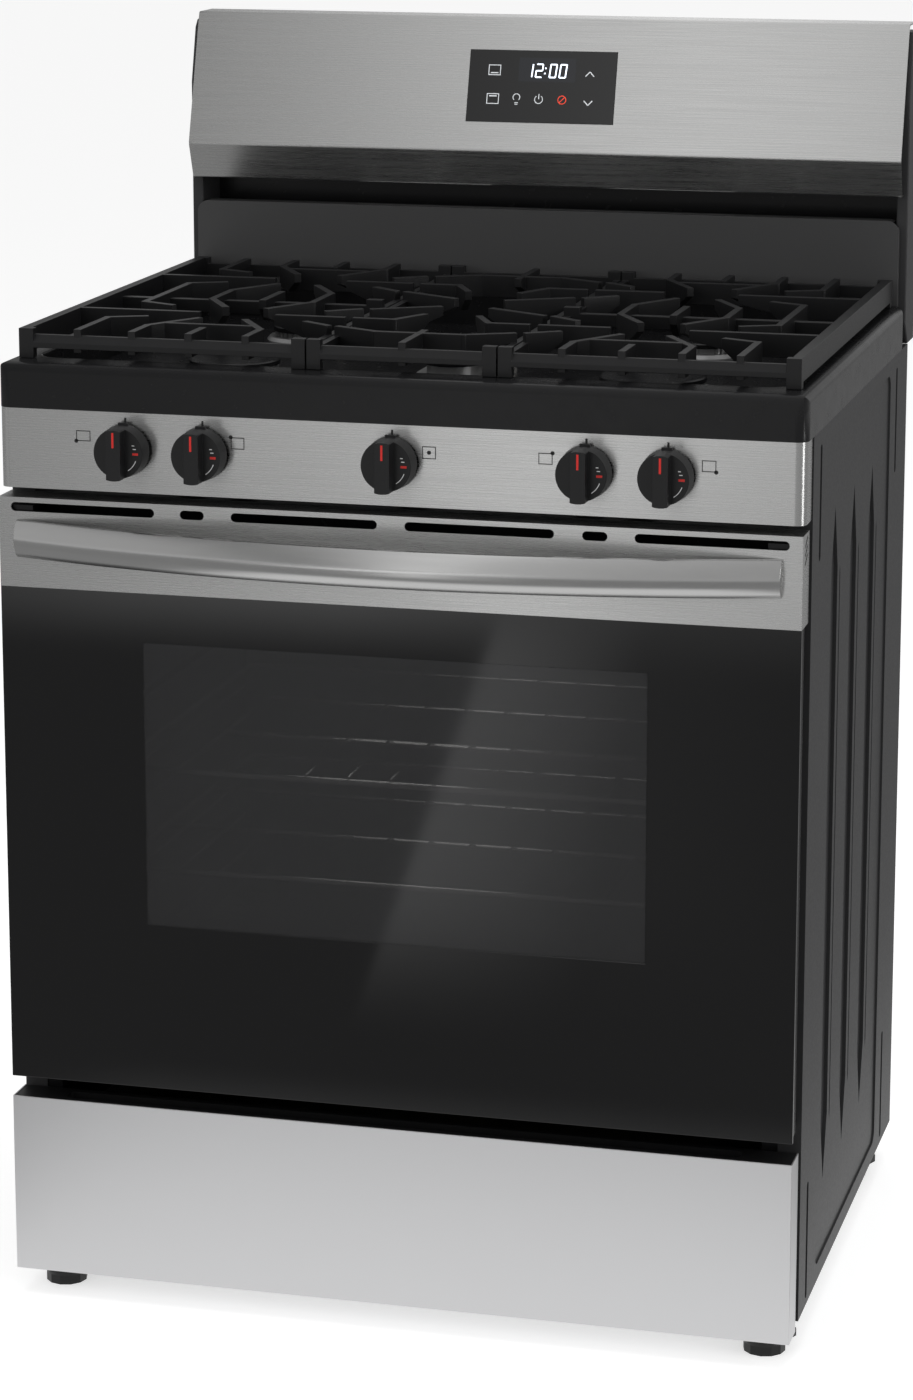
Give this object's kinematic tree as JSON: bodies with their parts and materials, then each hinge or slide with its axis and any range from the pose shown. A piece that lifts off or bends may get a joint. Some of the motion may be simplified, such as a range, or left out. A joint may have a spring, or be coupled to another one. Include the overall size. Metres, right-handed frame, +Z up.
{
  "type": "freestanding gas range",
  "caption": "Freestanding gas range with a drop-down oven door, storage drawer, lift-off grates over sealed burners, front knobs and a sloping rear console with a display.",
  "frame": {"origin": "on the floor, under the middle of the bounding box", "axes": "+Z up, -Y towards the person using the range, +X to the right as seen from the front"},
  "size_m": [0.759, 0.7069, 1.194],
  "materials": {
    "brushed steel": "brushed horizontally",
    "smooth steel": "smooth satin",
    "grey painted steel": "satin paint",
    "black enamel": "satin porcelain enamel",
    "oven enamel": "speckled porcelain enamel",
    "galvanised steel": "zinc coated",
    "painted steel tray": "satin paint",
    "cast iron": "matte porcelain on cast iron",
    "burner aluminium": "cast and machined",
    "burner steel": "aluminised steel",
    "ceramic": "glazed ceramic",
    "lamp glass": "clear",
    "black glass": "gloss, printed black behind",
    "clear glass": "clear",
    "brass": "machined",
    "regulator casting": "die cast",
    "nickel wire": "nickel plated",
    "stem steel": "turned",
    "black plastic": "satin moulded",
    "glass fibre": "matted fibre",
    "gasket": "woven fibre sleeve"
  },
  "bodies": {
    "cabinet": {"base_frame": "galvanised steel", "side_panel_left": "grey painted steel", "side_panel_right": "grey painted steel", "rear_panel": "galvanised steel", "front_frame": "black enamel", "oven_liner": "oven enamel", "oven_floor": "oven enamel", "oven_gasket": "gasket", "bake_burner": "burner steel", "broil_burner": "burner steel", "oven_igniters": "ceramic", "oven_sensor": "burner steel", "oven_light": "lamp glass", "insulation": "glass fibre", "hinge_arms": "galvanised steel", "control_panel": "brushed steel", "manifold_pipe": "burner steel", "valve_bodies": "brass", "burner_tubes": "burner aluminium", "gas_regulator": "regulator casting", "cooktop": "black enamel", "burner_bases": "burner aluminium", "burner_caps": "black enamel", "burner_igniters": "ceramic", "backguard_console": "brushed steel", "backguard_lower_panel": "black enamel", "backguard_end_caps": "grey painted steel", "backguard_rear_cover": "galvanised steel", "control_display": "black glass", "oven_vent_duct": "galvanised steel"},
    "grate_left": {"grate_left": "cast iron"},
    "grate_centre": {"grate_centre": "cast iron"},
    "grate_right": {"grate_right": "cast iron"},
    "rack_upper": {"rack_upper": "nickel wire"},
    "rack_lower": {"rack_lower": "nickel wire"},
    "door": {"door_glass": "black glass", "door_trim": "brushed steel", "door_handle": "brushed steel", "door_frame": "black enamel", "door_liner": "oven enamel", "door_inner_glass": "clear glass", "door_hinges": "galvanised steel"},
    "drawer": {"drawer_front": "smooth steel", "drawer_box": "painted steel tray", "drawer_cap": "black plastic"},
    "foot_front_left": {"foot_front_left": "black plastic"},
    "foot_front_right": {"foot_front_right": "black plastic"},
    "foot_rear_left": {"foot_rear_left": "black plastic"},
    "foot_rear_right": {"foot_rear_right": "black plastic"},
    "valve_stem_1": {"valve_stem_1": "stem steel"},
    "knob_1": {"knob_1": "black plastic"},
    "valve_stem_2": {"valve_stem_2": "stem steel"},
    "knob_2": {"knob_2": "black plastic"},
    "valve_stem_3": {"valve_stem_3": "stem steel"},
    "knob_3": {"knob_3": "black plastic"},
    "valve_stem_4": {"valve_stem_4": "stem steel"},
    "knob_4": {"knob_4": "black plastic"},
    "valve_stem_5": {"valve_stem_5": "stem steel"},
    "knob_5": {"knob_5": "black plastic"}
  },
  "joints": [
    {"name": "door_hinge", "type": "hinge", "parent": "cabinet", "child": "door", "pos_m": [0, -0.2675, 0.23], "axis": [1, 0, 0], "range_deg": [0, 90], "stiffness_Nm_per_rad": 15, "springref_deg": -8.59},
    {"name": "drawer_slide", "type": "slide", "parent": "cabinet", "child": "drawer", "axis": [0, -1, 0], "range_m": [0, 0.4]},
    {"name": "rack_upper_slide", "type": "slide", "parent": "cabinet", "child": "rack_upper", "axis": [0, -1, 0], "range_m": [0, 0.022]},
    {"name": "rack_lower_slide", "type": "slide", "parent": "cabinet", "child": "rack_lower", "axis": [0, -1, 0], "range_m": [0, 0.022]},
    {"name": "grate_left_lift", "type": "slide", "parent": "cabinet", "child": "grate_left", "axis": [0, 0, 1], "range_m": [0, 0.06]},
    {"name": "grate_centre_lift", "type": "slide", "parent": "cabinet", "child": "grate_centre", "axis": [0, 0, 1], "range_m": [0, 0.06]},
    {"name": "grate_right_lift", "type": "slide", "parent": "cabinet", "child": "grate_right", "axis": [0, 0, 1], "range_m": [0, 0.06]},
    {"name": "foot_front_left_turn", "type": "hinge", "parent": "cabinet", "child": "foot_front_left", "pos_m": [-0.346, -0.2395, 0], "axis": [0, 0, 1], "continuous": true},
    {"name": "foot_rear_left_turn", "type": "hinge", "parent": "cabinet", "child": "foot_rear_left", "pos_m": [-0.346, 0.2385, 0], "axis": [0, 0, 1], "continuous": true},
    {"name": "foot_front_right_turn", "type": "hinge", "parent": "cabinet", "child": "foot_front_right", "pos_m": [0.346, -0.2395, 0], "axis": [0, 0, 1], "continuous": true},
    {"name": "foot_rear_right_turn", "type": "hinge", "parent": "cabinet", "child": "foot_rear_right", "pos_m": [0.346, 0.2385, 0], "axis": [0, 0, 1], "continuous": true},
    {"name": "knob_1_turn", "type": "hinge", "parent": "cabinet", "child": "valve_stem_1", "pos_m": [-0.2545, -0.2895, 0.8355], "axis": [0, -1, 0], "range_deg": [0, 240]},
    {"name": "knob_1_push", "type": "slide", "parent": "valve_stem_1", "child": "knob_1", "axis": [0, 1, 0], "range_m": [0, 0.003], "stiffness_N_per_m": 1500, "springref_m": -0.002},
    {"name": "knob_2_turn", "type": "hinge", "parent": "cabinet", "child": "valve_stem_2", "pos_m": [-0.18, -0.2895, 0.8355], "axis": [0, -1, 0], "range_deg": [0, 240]},
    {"name": "knob_2_push", "type": "slide", "parent": "valve_stem_2", "child": "knob_2", "axis": [0, 1, 0], "range_m": [0, 0.003], "stiffness_N_per_m": 1500, "springref_m": -0.002},
    {"name": "knob_3_turn", "type": "hinge", "parent": "cabinet", "child": "valve_stem_3", "pos_m": [0, -0.2895, 0.8355], "axis": [0, -1, 0], "range_deg": [0, 240]},
    {"name": "knob_3_push", "type": "slide", "parent": "valve_stem_3", "child": "knob_3", "axis": [0, 1, 0], "range_m": [0, 0.003], "stiffness_N_per_m": 1500, "springref_m": -0.002},
    {"name": "knob_4_turn", "type": "hinge", "parent": "cabinet", "child": "valve_stem_4", "pos_m": [0.18, -0.2895, 0.8355], "axis": [0, -1, 0], "range_deg": [0, 240]},
    {"name": "knob_4_push", "type": "slide", "parent": "valve_stem_4", "child": "knob_4", "axis": [0, 1, 0], "range_m": [0, 0.003], "stiffness_N_per_m": 1500, "springref_m": -0.002},
    {"name": "knob_5_turn", "type": "hinge", "parent": "cabinet", "child": "valve_stem_5", "pos_m": [0.2545, -0.2895, 0.8355], "axis": [0, -1, 0], "range_deg": [0, 240]},
    {"name": "knob_5_push", "type": "slide", "parent": "valve_stem_5", "child": "knob_5", "axis": [0, 1, 0], "range_m": [0, 0.003], "stiffness_N_per_m": 1500, "springref_m": -0.002}
  ]
}
